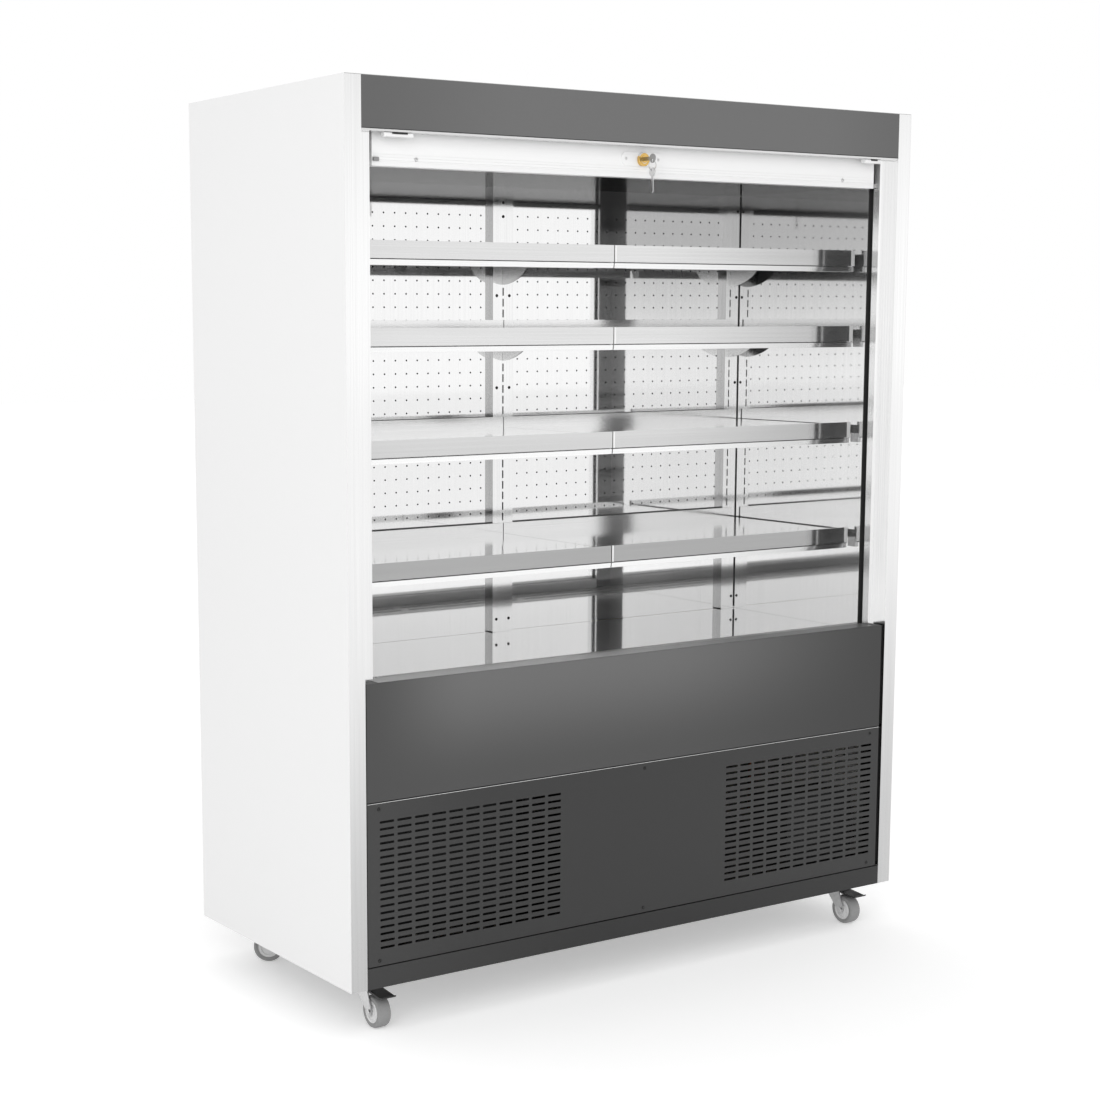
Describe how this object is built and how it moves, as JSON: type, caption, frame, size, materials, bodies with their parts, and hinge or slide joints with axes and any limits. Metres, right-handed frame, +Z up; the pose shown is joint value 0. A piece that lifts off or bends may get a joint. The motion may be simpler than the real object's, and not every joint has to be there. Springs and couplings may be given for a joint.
{
  "type": "open multideck display fridge",
  "caption": "Open-fronted chilled display cabinet with adjustable shelves, a lockable roller shutter, a louvred machine compartment and swivel casters.",
  "frame": {"origin": "on the floor at the bottom centre of the bounding box, which runs from the bow of the key in the lock to the back sheet", "axes": "+X to the right as a shopper faces the open front, +Y toward the back, +Z up; the open front faces -Y"},
  "size_m": [1.5, 0.666, 1.896],
  "materials": {
    "white_paint": "semi-gloss white paint",
    "graphite_paint": "satin dark grey paint",
    "black_paint": "black paint",
    "stainless": "fine brushed",
    "polished_steel": "polished",
    "galvanised": "galvanised sheet",
    "zinc": "bright zinc plate",
    "light_aluminium": "satin anodised",
    "coil_aluminium": "mill finish fins",
    "brass": "polished",
    "copper": "drawn copper tube",
    "black_plastic": "matte",
    "grey_plastic": "matte",
    "grey_tyre": "grey rubber",
    "foam": "cut polyurethane foam"
  },
  "bodies": {
    "cabinet": {"base_frame": "galvanised", "side_liners": "polished_steel", "wall_insulation": "foam", "rear_panel": "galvanised", "roof_panel": "galvanised", "canopy_panel": "graphite_paint", "apron_panel": "graphite_paint", "louvre_panel": "graphite_paint", "plinth": "graphite_paint", "ceiling_and_air_outlet": "polished_steel", "back_duct_panels": "polished_steel", "slotted_uprights": "polished_steel", "shelf_brackets": "stainless", "deck_pan": "polished_steel", "return_grille": "polished_steel", "tub_liner": "stainless", "shutter_guides": "black_plastic", "shutter_carrier": "stainless", "shutter_curtain": "light_aluminium", "evaporator": "coil_aluminium", "evaporator_fan_plate": "galvanised", "condenser": "coil_aluminium", "compressor": "black_paint", "refrigerant_pipes": "copper", "drip_tray": "black_plastic", "control_box": "grey_plastic", "mains_inlet": "black_plastic", "side_panel_left": "white_paint", "side_panel_right": "white_paint", "front_post_left": "stainless", "front_post_right": "stainless", "caster_plates": "zinc", "shelf_1_left": "stainless", "shelf_1_right": "stainless", "shelf_2_left": "stainless", "shelf_2_right": "stainless", "shelf_3_left": "stainless", "shelf_3_right": "stainless", "shelf_4_left": "stainless", "shelf_4_right": "stainless"},
    "shutter": {"shutter_bar": "light_aluminium"},
    "shutter_reel": {"shutter_drum": "light_aluminium", "shutter_roll": "light_aluminium"},
    "lock": {"lock_cylinder": "brass", "key": "zinc"},
    "ring": {"key_ring": "zinc"},
    "hanging_key": {"spare_key": "zinc"},
    "condenser_rotor": {"condenser_fan": "black_plastic"},
    "evaporator_rotor_left": {"evaporator_fan_left": "black_plastic"},
    "evaporator_rotor_right": {"evaporator_fan_right": "black_plastic"},
    "caster_front_left": {"fork_front_left": "zinc"},
    "roller_front_left": {"wheel_front_left": "grey_tyre"},
    "caster_front_right": {"fork_front_right": "zinc"},
    "roller_front_right": {"wheel_front_right": "grey_tyre"},
    "caster_rear_left": {"fork_rear_left": "zinc"},
    "roller_rear_left": {"wheel_rear_left": "grey_tyre"},
    "caster_rear_right": {"fork_rear_right": "zinc"},
    "roller_rear_right": {"wheel_rear_right": "grey_tyre"},
    "brake_left": {"brake_pedal_left": "black_plastic"},
    "brake_right": {"brake_pedal_right": "black_plastic"}
  },
  "joints": [
    {"name": "shutter_slide", "type": "slide", "parent": "cabinet", "child": "shutter", "axis": [0, 0, -1], "range_m": [0, 1], "deforming": ["shutter_curtain"]},
    {"name": "shutter_reel_spin", "type": "hinge", "parent": "cabinet", "child": "shutter_reel", "pos_m": [0, -0.209, 1.82], "axis": [1, 0, 0], "range_deg": [0, 1150]},
    {"name": "lock_turn", "type": "hinge", "parent": "shutter", "child": "lock", "pos_m": [-0.006, -0.297, 1.768], "axis": [0, 1, 0], "range_deg": [0, 90]},
    {"name": "ring_swing", "type": "hinge", "parent": "lock", "child": "ring", "pos_m": [-0.006, -0.3235, 1.7635], "axis": [0, -1, 0], "range_deg": [-35, 35]},
    {"name": "spare_key_swing", "type": "hinge", "parent": "ring", "child": "hanging_key", "pos_m": [-0.006, -0.3235, 1.744], "axis": [-1, 0, 0], "range_deg": [-12, 45]},
    {"name": "condenser_fan_spin", "type": "hinge", "parent": "cabinet", "child": "condenser_rotor", "pos_m": [-0.46, -0.141, 0.3], "axis": [0, 1, 0], "continuous": true},
    {"name": "evaporator_fan_left_spin", "type": "hinge", "parent": "cabinet", "child": "evaporator_rotor_left", "pos_m": [-0.3, -0.111, 0.615], "axis": [0, 1, 0], "continuous": true},
    {"name": "evaporator_fan_right_spin", "type": "hinge", "parent": "cabinet", "child": "evaporator_rotor_right", "pos_m": [0.3, -0.111, 0.615], "axis": [0, 1, 0], "continuous": true},
    {"name": "swivel_front_left", "type": "hinge", "parent": "cabinet", "child": "caster_front_left", "pos_m": [-0.66, -0.241, 0.08], "axis": [0, 0, 1], "continuous": true},
    {"name": "roll_front_left", "type": "hinge", "parent": "caster_front_left", "child": "roller_front_left", "pos_m": [-0.66, -0.271, 0.034], "axis": [1, 0, 0], "continuous": true},
    {"name": "swivel_front_right", "type": "hinge", "parent": "cabinet", "child": "caster_front_right", "pos_m": [0.66, -0.241, 0.08], "axis": [0, 0, 1], "continuous": true},
    {"name": "roll_front_right", "type": "hinge", "parent": "caster_front_right", "child": "roller_front_right", "pos_m": [0.66, -0.271, 0.034], "axis": [1, 0, 0], "continuous": true},
    {"name": "swivel_rear_left", "type": "hinge", "parent": "cabinet", "child": "caster_rear_left", "pos_m": [-0.66, 0.255, 0.08], "axis": [0, 0, 1], "continuous": true},
    {"name": "roll_rear_left", "type": "hinge", "parent": "caster_rear_left", "child": "roller_rear_left", "pos_m": [-0.63402, 0.24, 0.034], "axis": [0.5, 0.866, 0], "continuous": true},
    {"name": "swivel_rear_right", "type": "hinge", "parent": "cabinet", "child": "caster_rear_right", "pos_m": [0.66, 0.255, 0.08], "axis": [0, 0, 1], "continuous": true},
    {"name": "roll_rear_right", "type": "hinge", "parent": "caster_rear_right", "child": "roller_rear_right", "pos_m": [0.68598, 0.24, 0.034], "axis": [0.5, 0.866, 0], "continuous": true},
    {"name": "brake_left_press", "type": "hinge", "parent": "caster_front_left", "child": "brake_left", "pos_m": [-0.66, -0.261, 0.077], "axis": [1, 0, 0], "range_deg": [0, 16]},
    {"name": "brake_right_press", "type": "hinge", "parent": "caster_front_right", "child": "brake_right", "pos_m": [0.66, -0.261, 0.077], "axis": [1, 0, 0], "range_deg": [0, 16]}
  ],
  "couplings": [
    {"joint": "shutter_reel_spin", "follows": "shutter_slide", "rad_per_m": 20}
  ]
}
